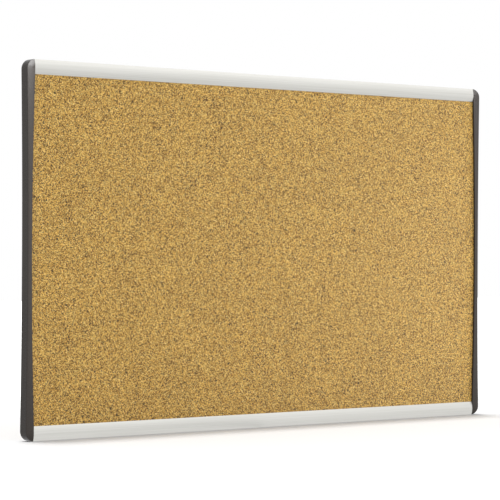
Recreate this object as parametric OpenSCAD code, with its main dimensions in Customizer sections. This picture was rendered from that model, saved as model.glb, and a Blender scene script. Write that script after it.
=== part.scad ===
// Wall-hung cork bulletin board. A cork-faced panel is held between two crowned
// aluminium rails and two waisted end caps. Keyhole hangers slide along the top
// rail's rear channel, and rubber bumpers in the bottom rail keep it off the wall.
// Millimetres. The origin is on the wall, behind the centre of the board.
// +X runs to the right as seen from the front, +Y into the wall, +Z up.

/* [Board] */
// Overall width across the end caps
board_w = 762; // [500:1:1200]
// Overall height across the rails
board_h = 457; // [300:1:900]
// Gap between the wall and the back of the frame
wall_gap = 3; // [2.8:0.1:6]

/* [Panel] */
// Thickness of the cork sheet
cork_t = 2; // [1:0.1:5]
// Thickness of the fibreboard core
core_t = 6.4; // [3:0.1:9]
// Thickness of the liner on the back
liner_t = 0.4; // [0.2:0.1:1]
// Depth that the panel goes into the rails
panel_bite = 6; // [4:0.1:10]
// Room left past each edge of the panel
panel_end_gap = 0.5; // [0.2:0.1:1]
// Clearance on each face of the panel
panel_clear = 0.1; // [0.05:0.05:0.3]

/* [Rails] */
// Wall thickness of the extrusion
rail_wall = 1.2; // [1:0.1:2]
// Thickness of the front lip where it meets the cork
lip_t = 0.6; // [0.5:0.1:2]
// Height of the crown across the front face
crown = 1.7; // [0.5:0.1:3]
// Thickness of the flange behind the panel
flange_t = 1.5; // [1:0.1:3]
// Inside height of the rear channel
channel_h = 9.1; // [8.5:0.1:14]
// Width of the slot that opens the channel to the back
slot_w = 5; // [4.6:0.1:6]

/* [End caps] */
// Width of each cap at its ends
cap_w = 11.3; // [10:0.1:20]
// Depth of the curve along the inner edge
inner_sag = 3.5; // [0.5:0.1:4]
// Depth of the curve along the outer edge
outer_sag = 1.8; // [0.5:0.1:3]
// Radius of the outer corners
cap_corner_r = 12; // [5:0.1:14]
// Height of the cap's front above the crown of the rails
cap_proud = 0.2; // [0:0.1:1.5]
// Side wall at its thinnest, at mid height
cap_side_wall = 1.7; // [1.2:0.1:3]
// Wall left around the core pockets in the back
core_wall = 2; // [1.5:0.1:2.2]
// Length of the tongue that plugs into each rail
tongue_l = 24; // [16:0.5:40]
// Clearance around the tongue
tongue_fit = 0.15; // [0.05:0.05:0.3]

/* [Cap screws] */
// Radius of the shank
screw_r = 1.7; // [1.2:0.1:2.2]
// Length under the head
screw_l = 7; // [5:0.1:8]
// Radius of the head
screw_head_r = 3.2; // [3:0.1:3.8]
// Height of the head
screw_head_h = 2; // [1.6:0.1:2.4]
// Rise of the dome on the head
screw_dome = 0.8; // [0.4:0.1:1]
// Length of the cross recess in the head
recess_l = 3.6; // [2:0.1:4.4]
// Width of the cross recess
recess_w = 0.9; // [0.6:0.1:1.2]
// Depth of the cross recess
recess_d = 1.2; // [0.6:0.1:1.4]
// Clearance around the shank of any screw
screw_fit = 0.05; // [0.02:0.01:0.1]
// Clearance past the tip of any screw
tip_gap = 0.3; // [0.1:0.1:0.5]

/* [Hangers] */
// Distance between the hangers at rest
hanger_spacing = 406; // [300:1:420]
// Width of the plate
plate_w = 24; // [20:0.5:36]
// Thickness of the plate
plate_t = 1.5; // [1.4:0.1:2]
// Radius of the plate's corners
plate_corner_r = 3; // [1:0.1:6]
// Drop from the board's top edge to the plate's top edge
plate_top = 1; // [0.5:0.1:2]
// Radius of the keyhole's entry
entry_r = 5; // [4.5:0.1:7]
// Width of the keyhole's slot
key_slot_w = 5; // [4.5:0.1:6]
// Drop from the rail to the point where the wall screw rests
hang_drop = 6; // [5.5:0.1:12]
// Rise from the keyhole's entry to that point
key_travel = 10; // [8.5:0.1:16]
// Plate left below the keyhole
plate_margin = 5; // [3:0.1:10]
// Length of the shoe in the channel
shoe_l = 30; // [26:0.5:50]
// Thickness of the shoe in the channel
shoe_t = 3; // [2:0.1:4]
// Clearance above and below the shoe and its neck
shoe_fit = 0.3; // [0.2:0.05:0.4]
// Clearance between the shoe and the lips of the slot
shoe_play = 0.1; // [0.05:0.05:0.3]
// Shoe left in front of its screw holes
shoe_floor = 0.7; // [0.5:0.1:1]
// Distance between the two screws of a hanger
hanger_pitch = 14; // [10:0.5:16]
// Radius of a hanger screw's shank
pin_r = 1.5; // [1:0.1:1.6]
// Radius of its countersunk head
pin_head_r = 2.8; // [2.2:0.1:3]
// Height of its countersunk head
pin_head_h = 1.2; // [0.8:0.1:1.3]

/* [Bumpers] */
// Radius of the pad
bumper_r = 5; // [3.5:0.1:5.5]
// Distance from the rail's end to the bumper
bumper_inset = 60; // [40:1:150]
// Thickness of the head inside the channel
bumper_head_t = 2; // [1:0.1:3]
// Clearance around the head
bumper_fit = 0.35; // [0.1:0.05:0.6]
// Clearance around the neck in the slot
neck_fit = 0.1; // [0.05:0.05:0.3]

/* [Hidden] */
// How far a cut runs past the face that it opens
overcut = 1;
// Straight steps along the long curve of a cap's edge
bow_steps = 32;
$fn = 64;
crown_fn = 240;

// Depths are measured from the back of the frame towards the front
panel_t = cork_t + core_t + liner_t;
panel_back_d = flange_t + panel_clear;
panel_front_d = panel_back_d + panel_t;
lip_back_d = panel_front_d + panel_clear;
groove_w = lip_back_d - flange_t;
rail_d = lip_back_d + lip_t + crown;
cap_d = rail_d + cap_proud;

// Heights across a rail are measured from its outer edge inwards
channel_mid = rail_wall + channel_h / 2;
groove_v = channel_h + 2 * rail_wall;
panel_v = groove_v + panel_end_gap;
rail_h = panel_v + panel_bite;
rail_l = board_w - 2 * cap_w;
crown_r = arc_r(rail_h, crown);

// The panel fills the grooves in the rails and in the caps
panel_edge = outer_sag + cap_side_wall + panel_end_gap;
panel_w = board_w - 2 * panel_edge;
panel_h = board_h - 2 * panel_v;

// Heights on a hanger are measured from the board's top edge downwards
hang_v = rail_h + hang_drop;
entry_v = hang_v + key_travel;
plate_bottom = entry_v + entry_r + plate_margin;
plate_h = plate_bottom - plate_top;
shoe_d = rail_wall + shoe_play;
pin_l = wall_gap + shoe_d + shoe_t - shoe_floor - tip_gap;
pocket_edge = cap_corner_r * (1 - sqrt(0.5)) + core_wall * sqrt(0.5);
tongue_d = crown_depth(rail_wall + tongue_fit, crown_r - rail_wall) - tongue_fit;

// Depth of a crown of radius r at height v across the rail
function crown_depth(v, r) = rail_d - crown_r + sqrt(r * r - pow(v - rail_h / 2, 2));
// Radius of the arc with a given chord and sag
function arc_r(chord, sag) = (pow(chord / 2, 2) + sag * sag) / (2 * sag);

// Puts a profile of depth and height along the top rail
module along_rail(l) {
    translate([-l / 2, -wall_gap, board_h / 2])
        rotate([-90, 0, 0]) rotate([0, 90, 0])
            linear_extrude(l) children();
}

// Extrudes a front view from depth d0 to depth d1
module in_depth(d0, d1) {
    translate([0, -wall_gap - d0, 0]) rotate([90, 0, 0]) linear_extrude(d1 - d0) children();
}

// Moves a piece to a point of the front view, at depth d
module at(x, z, d = 0) {
    translate([x, -wall_gap - d, z]) children();
}

// One layer of the panel between two depths
module layer(d0, d1) {
    in_depth(d0, d1) square([panel_w, panel_h], center = true);
}

// Disc of the rail's crown, seen along the rail
module crown_disc(r) {
    translate([rail_d - crown_r, rail_h / 2]) circle(r, $fn = crown_fn);
}

module rail_profile() {
    difference() {
        intersection() {
            square([rail_d, rail_h]);
            crown_disc(crown_r);
        }
        translate([flange_t, groove_v]) square([groove_w, rail_h]);
        intersection() {
            translate([rail_wall, rail_wall]) square([rail_d, channel_h]);
            crown_disc(crown_r - rail_wall);
        }
        translate([-overcut, channel_mid - slot_w / 2]) square([rail_wall + 2 * overcut, slot_w]);
    }
}

// Points up a curve that bows by sag along the middle of a chord
function bow(chord, sag) = [
    for (step = [0:bow_steps])
        let (z = chord * (step / bow_steps - 0.5), r = arc_r(chord, sag))
            [sqrt(r * r - z * z) - r + sag, z]
];

// What a round corner takes off a square one whose tip is at the origin
module corner_waste(r) {
    translate([-r, -r]) difference() {
        square(r + overcut);
        circle(r);
    }
}

module cap_outline() {
    inner_x = board_w / 2 - cap_w;
    outer_x = board_w / 2;
    inner = [for (p = bow(board_h - 2 * rail_h, inner_sag)) [inner_x + p.x, p.y]];
    outer = [for (p = bow(board_h - 2 * cap_corner_r, outer_sag)) [outer_x - p.x, -p.y]];
    difference() {
        polygon(concat(
            [[inner_x, -board_h / 2]], inner, [[inner_x, board_h / 2]],
            [[outer_x, board_h / 2]], outer, [[outer_x, -board_h / 2]]
        ));
        for (end = [0, 1]) mirror([0, end]) translate([outer_x, board_h / 2])
            corner_waste(cap_corner_r);
    }
}

// Side view of a cap: a flat front with a crowned shoulder at each end
module cap_side() {
    translate([0, rail_h / 2]) square([cap_d, board_h - rail_h]);
    for (end = [0, board_h - rail_h]) translate([0, end]) intersection() {
        square([cap_d, rail_h]);
        crown_disc(crown_r + cap_proud);
    }
}

module tongue() {
    tongue_end = board_w / 2 - cap_w - tongue_l;
    width = channel_h - 2 * tongue_fit;
    at(tongue_end, board_h / 2 - rail_wall - tongue_fit - width, tongue_d)
        cube([tongue_l + overcut, tongue_d - rail_wall - tongue_fit, width]);
}

module screw_pilot() {
    at(board_w / 2 - cap_w - tongue_l / 2, board_h / 2 - channel_mid)
        rotate([90, 0, 0]) cylinder(r = screw_r + screw_fit, h = screw_l + tip_gap);
}

module core_pocket() {
    x0 = board_w / 2 - cap_w + core_wall;
    z1 = board_h / 2 - pocket_edge;
    z0 = board_h / 2 - groove_v + core_wall;
    depth = crown_depth(pocket_edge, crown_r) - core_wall;
    at(x0, z0, depth) cube([board_w / 2 - pocket_edge - x0, depth + overcut, z1 - z0]);
}

module end_cap() {
    difference() {
        union() {
            intersection() {
                in_depth(0, cap_d) cap_outline();
                translate([board_w / 2, 0, 0]) along_rail(2 * cap_w) cap_side();
            }
            for (end = [0, 1]) mirror([0, 0, end]) tongue();
        }
        at(0, groove_v - board_h / 2, lip_back_d)
            cube([panel_w / 2 + panel_end_gap, groove_w, board_h - 2 * groove_v]);
        for (end = [0, 1]) mirror([0, 0, end]) {
            screw_pilot();
            core_pocket();
        }
    }
}

module cross_recess() {
    for (turn = [0, 90]) rotate([0, turn, 0]) translate([-recess_l / 2, -recess_d, -recess_w / 2])
        cube([recess_l, recess_d + overcut, recess_w]);
}

// Screw with a domed head, the shank running forwards from under the head
module cap_screw() {
    dome_r = arc_r(2 * screw_head_r, screw_dome);
    rotate([90, 0, 0]) cylinder(r = screw_r, h = screw_l);
    difference() {
        intersection() {
            rotate([-90, 0, 0]) cylinder(r = screw_head_r, h = screw_head_h);
            translate([0, screw_head_h - dome_r, 0]) sphere(dome_r);
        }
        translate([0, screw_head_h, 0]) cross_recess();
    }
}

// Places of the two screws across a hanger, on the wall side
module hanger_screw_places() {
    for (side = [-1, 1])
        translate([side * hanger_pitch / 2, 0, board_h / 2 - channel_mid]) children();
}

// Shank and countersunk head of a hanger screw, or with grow and reach the hole for it
module hanger_screw(grow = 0, reach = 0) {
    rotate([90, 0, 0]) {
        cylinder(r = pin_r + grow, h = pin_l + reach);
        cylinder(r1 = pin_head_r + grow, r2 = pin_r + grow, h = pin_head_h);
    }
}

module hanger_shoe() {
    width = channel_h - 2 * shoe_fit;
    neck_w = slot_w - 2 * shoe_fit;
    mid = board_h / 2 - channel_mid;
    difference() {
        union() {
            at(-shoe_l / 2, mid - width / 2, shoe_d + shoe_t) cube([shoe_l, shoe_t, width]);
            at(-shoe_l / 2, mid - neck_w / 2, shoe_d)
                cube([shoe_l, shoe_d + wall_gap - plate_t, neck_w]);
        }
        hanger_screw_places() hanger_screw(screw_fit, tip_gap);
    }
}

module plate_outline() {
    difference() {
        translate([-plate_w / 2, -plate_bottom]) square([plate_w, plate_h]);
        for (side = [0, 1]) mirror([side, 0]) {
            translate([plate_w / 2, -plate_top]) corner_waste(plate_corner_r);
            translate([plate_w / 2, -plate_bottom]) mirror([0, 1]) corner_waste(plate_corner_r);
        }
        translate([0, -entry_v]) circle(entry_r);
        translate([0, -hang_v]) circle(d = key_slot_w);
        translate([-key_slot_w / 2, -entry_v]) square([key_slot_w, key_travel]);
    }
}

module hanger_plate() {
    difference() {
        translate([0, 0, board_h / 2]) rotate([90, 0, 0]) linear_extrude(plate_t) plate_outline();
        hanger_screw_places() hanger_screw(screw_fit);
    }
}

module hanger_screws() {
    hanger_screw_places() hanger_screw();
}

module bumper() {
    head_r = channel_h / 2 - bumper_fit;
    neck_r = slot_w / 2 - neck_fit;
    at(board_w / 2 - cap_w - bumper_inset, channel_mid - board_h / 2) {
        rotate([-90, 0, 0]) cylinder(r = bumper_r, h = wall_gap);
        rotate([90, 0, 0]) cylinder(r = neck_r, h = rail_wall + bumper_head_t);
        translate([0, -rail_wall, 0]) rotate([90, 0, 0]) cylinder(r = head_r, h = bumper_head_t);
    }
}

module cork_sheet() color("#c29a5b") layer(panel_front_d - cork_t, panel_front_d);

module core_board() color("#8a6a45") layer(panel_back_d + liner_t, panel_front_d - cork_t);

module back_liner() color("#b9a98a") layer(panel_back_d, panel_back_d + liner_t);

module top_rail() color("#dcdcd8") along_rail(rail_l) rail_profile();

module bottom_rail() color("#dcdcd8") mirror([0, 0, 1]) along_rail(rail_l) rail_profile();

module left_end_cap() color("#4d4844") mirror([1, 0, 0]) end_cap();

module right_end_cap() color("#4d4844") end_cap();

module cap_screws() color("#b4b6b8") {
    x = board_w / 2 - cap_w - tongue_l / 2;
    z = board_h / 2 - channel_mid;
    for (side = [-1, 1], end = [-1, 1]) at(side * x, end * z) cap_screw();
}

module left_hanger_shoe() color("#262626") translate([-hanger_spacing / 2, 0, 0]) hanger_shoe();

module left_hanger_plate() color("#b4b6b8") translate([-hanger_spacing / 2, 0, 0]) hanger_plate();

module left_hanger_screws() color("#b4b6b8") translate([-hanger_spacing / 2, 0, 0]) hanger_screws();

module right_hanger_shoe() color("#262626") translate([hanger_spacing / 2, 0, 0]) hanger_shoe();

module right_hanger_plate() color("#b4b6b8") translate([hanger_spacing / 2, 0, 0]) hanger_plate();

module right_hanger_screws() color("#b4b6b8") translate([hanger_spacing / 2, 0, 0]) hanger_screws();

module left_bumper() color("#202020") mirror([1, 0, 0]) bumper();

module right_bumper() color("#202020") bumper();

cork_sheet();
core_board();
back_liner();
top_rail();
bottom_rail();
left_end_cap();
right_end_cap();
cap_screws();
left_hanger_shoe();
left_hanger_plate();
left_hanger_screws();
right_hanger_shoe();
right_hanger_plate();
right_hanger_screws();
left_bumper();
right_bumper();
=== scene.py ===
"""Looks of a wall-hung cork bulletin board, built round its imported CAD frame.

Cork is glued to a fibreboard core and held between two crowned aluminium rails and two
waisted plastic end caps. Hangers and bumpers sit in the rails' rear channels. Lengths are
metres, and MM turns millimetres into them. The front faces -Y, the wall is at Y = 0.
"""

import logging
import math
from dataclasses import dataclass
from enum import Enum

import bmesh
import bpy
from mathutils import Matrix, Vector, noise


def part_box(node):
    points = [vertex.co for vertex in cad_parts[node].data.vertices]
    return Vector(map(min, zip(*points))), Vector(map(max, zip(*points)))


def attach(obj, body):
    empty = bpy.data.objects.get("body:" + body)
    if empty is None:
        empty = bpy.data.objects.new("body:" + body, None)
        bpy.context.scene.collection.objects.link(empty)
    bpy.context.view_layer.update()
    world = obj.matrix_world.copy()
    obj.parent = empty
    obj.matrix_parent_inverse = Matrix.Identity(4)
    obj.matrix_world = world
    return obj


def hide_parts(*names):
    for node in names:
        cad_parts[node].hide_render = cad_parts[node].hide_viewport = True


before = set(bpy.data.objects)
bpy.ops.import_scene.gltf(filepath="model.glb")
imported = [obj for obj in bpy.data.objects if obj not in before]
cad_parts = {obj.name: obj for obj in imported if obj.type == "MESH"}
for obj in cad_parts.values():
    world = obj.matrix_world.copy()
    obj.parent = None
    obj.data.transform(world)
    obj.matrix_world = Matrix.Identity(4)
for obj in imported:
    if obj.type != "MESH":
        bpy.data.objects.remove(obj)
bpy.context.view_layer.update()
MM = 0.001
TINY = 0.01 * MM
MERGE = TINY / 10
FACING = 0.99
SMOOTH_ANGLE = math.radians(32)
log = logging.getLogger("cork_board")


class Side(Enum):
    """An end of the board, and the way that it lies along X."""

    LEFT = -1
    RIGHT = 1


class Edge(Enum):
    """A long edge of the board, and the way that it lies along Z."""

    BOTTOM = -1
    TOP = 1


class Head(Enum):
    """The form of a screw's head."""

    PAN = "pan"
    COUNTERSUNK = "countersunk"


def linear(colour: str) -> tuple[float, float, float, float]:
    """Turns an sRGB hex value into the linear colour that a shader takes.

    Args:
        colour: Hex value such as "#c29a5b".

    Returns:
        Linear red, green, blue and an alpha of 1.
    """
    shares = [int(colour[at : at + 2], 16) / 255 for at in (1, 3, 5)]
    red, green, blue = (c / 12.92 if c <= 0.04045 else ((c + 0.055) / 1.055) ** 2.4 for c in shares)
    return red, green, blue, 1.0


def add_node(tree: bpy.types.NodeTree, kind: str, inputs: dict | None = None, **settings) -> bpy.types.Node:
    """Adds a node, sets its properties and fills or links its inputs.

    Args:
        tree: Node tree that gets the node.
        kind: Blender's name for the node's type.
        inputs: A value, or an output socket to link, for each input by name or number.
        settings: The node's properties by name, and stops, the places and colours of a ramp.

    Returns:
        The new node.
    """
    made = tree.nodes.new(kind)
    stops = settings.pop("stops", [])
    for name, value in settings.items():
        setattr(made, name, value)
    for _ in stops[2:]:
        made.color_ramp.elements.new(1.0)
    for element, (place, colour) in zip(made.color_ramp.elements if stops else [], stops):
        element.position = place
        element.color = linear(colour)
    for key, value in (inputs or {}).items():
        named = [s for s in made.inputs if s.enabled and s.name == key]
        socket = made.inputs[key] if isinstance(key, int) else named[0]
        if isinstance(value, bpy.types.NodeSocket):
            tree.links.new(value, socket)
        else:
            socket.default_value = value
    return made


def result(node: bpy.types.Node) -> bpy.types.NodeSocket:
    """Returns a node's first output that is in use."""
    return next(s for s in node.outputs if s.enabled)


def new_material(name: str) -> tuple[bpy.types.Material, bpy.types.NodeTree]:
    """Makes a material with an empty node tree.

    Args:
        name: What the material is called.

    Returns:
        The material and its node tree.
    """
    material = bpy.data.materials.new(name)
    material.use_nodes = True
    material.node_tree.nodes.clear()
    return material, material.node_tree


@dataclass(frozen=True)
class AgglomeratedCork:
    """Cork granules pressed with a binder, sliced into sheet and sanded.

    The eye sees a warm tan field of small flat granules, each of its own shade, with dark
    crumbs of bark between them and no shine at all.
    """

    granule: float = 0.85 * MM
    speck: float = 1.25 * MM
    patch: float = 70 * MM
    ragged: float = 0.4 * MM
    relief: float = 0.25 * MM
    seam_width: float = 0.09
    seam_strength: float = 0.55
    bark_share: float = 0.11
    bark_blend: float = 0.015
    drift: float = 0.03
    roughness: float = 0.62
    tones: tuple[str, ...] = ("#1a0d02", "#53330a", "#a67727", "#d8a849", "#eec25e", "#fbde8b")
    tone_stops: tuple[float, ...] = (0.0, 0.12, 0.3, 0.55, 0.8, 1.0)
    bark: str = "#1a0e05"
    binder: str = "#8a632a"

    def material(self) -> bpy.types.Material:
        """Draws the granules, their seams and the bark.

        Returns:
            The material, on Object coordinates.
        """
        material, tree = new_material("agglomerated_cork")
        place = add_node(tree, "ShaderNodeTexCoord").outputs["Object"]
        where = self.torn(tree, place)
        grains = 1 / self.granule

        # Each granule takes one shade, and most are near the middle of the range
        granules = add_node(tree, "ShaderNodeTexVoronoi", {"Vector": where, "Scale": grains})
        chance = add_node(tree, "ShaderNodeSeparateColor", {"Color": granules.outputs["Color"]})
        spread = list(zip(self.tone_stops, self.tones))
        shade = add_node(tree, "ShaderNodeValToRGB", {"Fac": chance.outputs["Red"]}, stops=spread)

        # The binder shows as a thin darker seam between granules
        seams = add_node(
            tree, "ShaderNodeTexVoronoi", {"Vector": where, "Scale": grains}, feature="DISTANCE_TO_EDGE"
        )
        thin = add_node(
            tree,
            "ShaderNodeMapRange",
            {
                "Value": result(seams),
                "From Max": self.seam_width,
                "To Min": self.seam_strength,
                "To Max": 0.0,
            },
        )
        bound = add_node(
            tree,
            "ShaderNodeMix",
            {"Factor": result(thin), "A": result(shade), "B": linear(self.binder)},
            data_type="RGBA",
        )

        # One crumb in nine is bark
        crumbs = add_node(tree, "ShaderNodeTexVoronoi", {"Vector": where, "Scale": 1 / self.speck})
        draw = add_node(tree, "ShaderNodeSeparateColor", {"Color": crumbs.outputs["Color"]})
        sound = 1 - self.bark_share
        barky = add_node(
            tree,
            "ShaderNodeMapRange",
            {
                "Value": draw.outputs["Green"],
                "From Min": sound - self.bark_blend,
                "From Max": sound + self.bark_blend,
            },
        )
        specked = add_node(
            tree,
            "ShaderNodeMix",
            {"Factor": result(barky), "A": result(bound), "B": linear(self.bark)},
            data_type="RGBA",
        )

        # Sanding leaves the hard crumbs proud and the seams open
        height = add_node(
            tree, "ShaderNodeMath", {0: chance.outputs["Blue"], 1: result(thin)}, operation="SUBTRACT"
        )
        bump = add_node(
            tree, "ShaderNodeBump", {"Height": result(height), "Strength": 0.6, "Distance": self.relief}
        )
        surface = add_node(
            tree,
            "ShaderNodeBsdfPrincipled",
            {
                "Base Color": self.clouded(tree, place, result(specked)),
                "Roughness": self.roughness,
                "IOR": 1.5,
                "Normal": result(bump),
            },
        )
        add_node(tree, "ShaderNodeOutputMaterial", {"Surface": result(surface)})
        return material

    def torn(self, tree: bpy.types.NodeTree, place: bpy.types.NodeSocket) -> bpy.types.NodeSocket:
        """Pushes the coordinates about, so that granules have torn edges and not straight ones.

        Args:
            tree: Node tree of the cork.
            place: Object coordinates.

        Returns:
            The socket with the pushed coordinates.
        """
        shake = add_node(
            tree, "ShaderNodeTexNoise", {"Vector": place, "Scale": 1 / self.granule, "Detail": 1.0}
        )
        centred = add_node(
            tree,
            "ShaderNodeVectorMath",
            {0: shake.outputs["Color"], 1: (0.5, 0.5, 0.5)},
            operation="SUBTRACT",
        )
        push = add_node(
            tree, "ShaderNodeVectorMath", {0: result(centred), "Scale": self.ragged}, operation="SCALE"
        )
        return result(add_node(tree, "ShaderNodeVectorMath", {0: place, 1: result(push)}, operation="ADD"))

    def clouded(
        self, tree: bpy.types.NodeTree, place: bpy.types.NodeSocket, colour: bpy.types.NodeSocket
    ) -> bpy.types.NodeSocket:
        """Varies the shade a little over a hand's breadth, as slices of the pressed block do.

        Args:
            tree: Node tree of the cork.
            place: Object coordinates.
            colour: Colour to vary.

        Returns:
            The socket with the varied colour.
        """
        cloud = add_node(
            tree, "ShaderNodeTexNoise", {"Vector": place, "Scale": 1 / self.patch, "Detail": 2.0}
        )
        drift = add_node(
            tree,
            "ShaderNodeMapRange",
            {
                "Value": result(cloud),
                "From Min": 0.3,
                "From Max": 0.7,
                "To Min": 1 - self.drift,
                "To Max": 1 + self.drift,
            },
        )
        field = add_node(
            tree,
            "ShaderNodeMix",
            {"Factor": 1.0, "A": colour, "B": result(drift)},
            data_type="RGBA",
            blend_type="MULTIPLY",
        )
        return result(field)


@dataclass(frozen=True)
class AnodisedAluminium:
    """Extruded aluminium, etched to a satin and clear anodised.

    The eye sees a soft silver sheen that follows the crown, with faint lines along the bar
    from the extrusion die.
    """

    colour: str = "#e8e7e2"
    streak: str = "#deddd7"
    # Real die lines, about 0.1 mm apart, are too fine to show, so they are drawn five times as coarse
    line_gap: float = 0.5 * MM
    line_run: float = 160 * MM
    roughness: float = 0.45

    def material(self) -> bpy.types.Material:
        """Draws the satin metal and its die lines.

        Returns:
            The material, with its lines along X.
        """
        material, tree = new_material("anodised_aluminium")
        place = add_node(tree, "ShaderNodeTexCoord").outputs["Object"]
        stretch = (1 / self.line_run, 1 / self.line_gap, 1 / self.line_gap)
        drawn = add_node(tree, "ShaderNodeMapping", {"Vector": place, "Scale": stretch})
        die = add_node(tree, "ShaderNodeTexNoise", {"Vector": result(drawn), "Scale": 1.0, "Detail": 3.0})
        lines = result(die)
        shade = add_node(
            tree, "ShaderNodeValToRGB", {"Fac": lines}, stops=[(0.35, self.streak), (0.6, self.colour)]
        )
        satin = add_node(
            tree,
            "ShaderNodeMapRange",
            {"Value": lines, "To Min": self.roughness - 0.06, "To Max": self.roughness + 0.06},
        )
        bump = add_node(tree, "ShaderNodeBump", {"Height": lines, "Strength": 0.15, "Distance": 0.02 * MM})
        surface = add_node(
            tree,
            "ShaderNodeBsdfPrincipled",
            {
                "Base Color": result(shade),
                "Metallic": 1.0,
                "Roughness": result(satin),
                "Normal": result(bump),
            },
        )
        add_node(tree, "ShaderNodeOutputMaterial", {"Surface": result(surface)})
        return material


@dataclass(frozen=True)
class MouldedPolymer:
    """Plastic or rubber moulded in a tool whose faces carry a fine spark-eroded grain.

    The eye sees one even colour, a broad soft sheen and a grain that breaks the sheen up.
    """

    name: str
    colour: str
    fleck: str
    roughness: float
    ior: float
    grain: float
    grain_depth: float

    def material(self) -> bpy.types.Material:
        """Draws the moulded grain.

        Returns:
            The material, grained alike on every face.
        """
        material, tree = new_material(self.name)
        place = add_node(tree, "ShaderNodeTexCoord").outputs["Object"]
        grain = result(
            add_node(tree, "ShaderNodeTexNoise", {"Vector": place, "Scale": 1 / self.grain, "Detail": 2.0})
        )
        shade = add_node(
            tree, "ShaderNodeValToRGB", {"Fac": grain}, stops=[(0.35, self.fleck), (0.65, self.colour)]
        )
        satin = add_node(
            tree,
            "ShaderNodeMapRange",
            {"Value": grain, "To Min": self.roughness - 0.05, "To Max": self.roughness + 0.05},
        )
        bump = add_node(
            tree, "ShaderNodeBump", {"Height": grain, "Strength": 0.4, "Distance": self.grain_depth}
        )
        surface = add_node(
            tree,
            "ShaderNodeBsdfPrincipled",
            {
                "Base Color": result(shade),
                "Roughness": result(satin),
                "IOR": self.ior,
                "Specular IOR Level": 0.2,
                "Normal": result(bump),
            },
        )
        add_node(tree, "ShaderNodeOutputMaterial", {"Surface": result(surface)})
        return material


@dataclass(frozen=True)
class PressedFibre:
    """Paper or board of pressed wood fibre.

    The eye sees a dull brown ground with faint paler and darker fibres lying every way in it.
    """

    name: str
    colour: str
    pale: str
    dark: str
    fibre: float
    roughness: float
    slender: float = 8.0

    def material(self) -> bpy.types.Material:
        """Draws the felted fibres.

        Returns:
            The material, with fibres lying four ways across the sheet.
        """
        material, tree = new_material(self.name)
        place = add_node(tree, "ShaderNodeTexCoord").outputs["Object"]
        thin = self.fibre / self.slender
        felt = None
        for turn in (17, 62, 107, 152):
            laid = add_node(
                tree,
                "ShaderNodeMapping",
                {"Vector": place, "Rotation": (0, math.radians(turn), 0), "Scale": (self.fibre, thin, thin)},
                vector_type="TEXTURE",
            )
            fibres = result(
                add_node(
                    tree,
                    "ShaderNodeTexNoise",
                    {"Vector": result(laid), "Scale": 1.0, "Detail": 2.0, "Distortion": 0.8},
                )
            )
            if felt:
                both = add_node(tree, "ShaderNodeMath", {0: felt, 1: fibres}, operation="MAXIMUM")
                fibres = result(both)
            felt = fibres
        shade = add_node(
            tree,
            "ShaderNodeValToRGB",
            {"Fac": felt},
            stops=[(0.5, self.dark), (0.62, self.colour), (0.76, self.pale)],
        )
        bump = add_node(tree, "ShaderNodeBump", {"Height": felt, "Strength": 0.25, "Distance": 0.05 * MM})
        surface = add_node(
            tree,
            "ShaderNodeBsdfPrincipled",
            {
                "Base Color": result(shade),
                "Roughness": self.roughness,
                "IOR": 1.45,
                "Normal": result(bump),
            },
        )
        add_node(tree, "ShaderNodeOutputMaterial", {"Surface": result(surface)})
        return material


@dataclass(frozen=True)
class ZincPlate:
    """Pressed or cold-headed steel with bright zinc plating.

    The eye sees a cool, slightly cloudy mirror, patchy where the crystals of the zinc differ.
    """

    colour: str = "#c3c6c9"
    cloud: str = "#b6babe"
    # Single crystals are too fine to show, so their clouds are drawn as coarse as the eye can see
    crystal: float = 1.2 * MM
    roughness: float = 0.3

    def material(self) -> bpy.types.Material:
        """Draws the plated metal and its crystals.

        Returns:
            The material, clouded alike on every face.
        """
        material, tree = new_material("bright_zinc")
        place = add_node(tree, "ShaderNodeTexCoord").outputs["Object"]
        crystals = add_node(
            tree, "ShaderNodeTexNoise", {"Vector": place, "Scale": 1 / self.crystal, "Detail": 4.0}
        )
        shade = add_node(
            tree,
            "ShaderNodeValToRGB",
            {"Fac": result(crystals)},
            stops=[(0.35, self.cloud), (0.6, self.colour)],
        )
        satin = add_node(
            tree,
            "ShaderNodeMapRange",
            {"Value": result(crystals), "To Min": self.roughness + 0.12, "To Max": self.roughness - 0.08},
        )
        surface = add_node(
            tree,
            "ShaderNodeBsdfPrincipled",
            {"Base Color": result(shade), "Metallic": 1.0, "Roughness": result(satin)},
        )
        add_node(tree, "ShaderNodeOutputMaterial", {"Surface": result(surface)})
        return material


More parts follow.
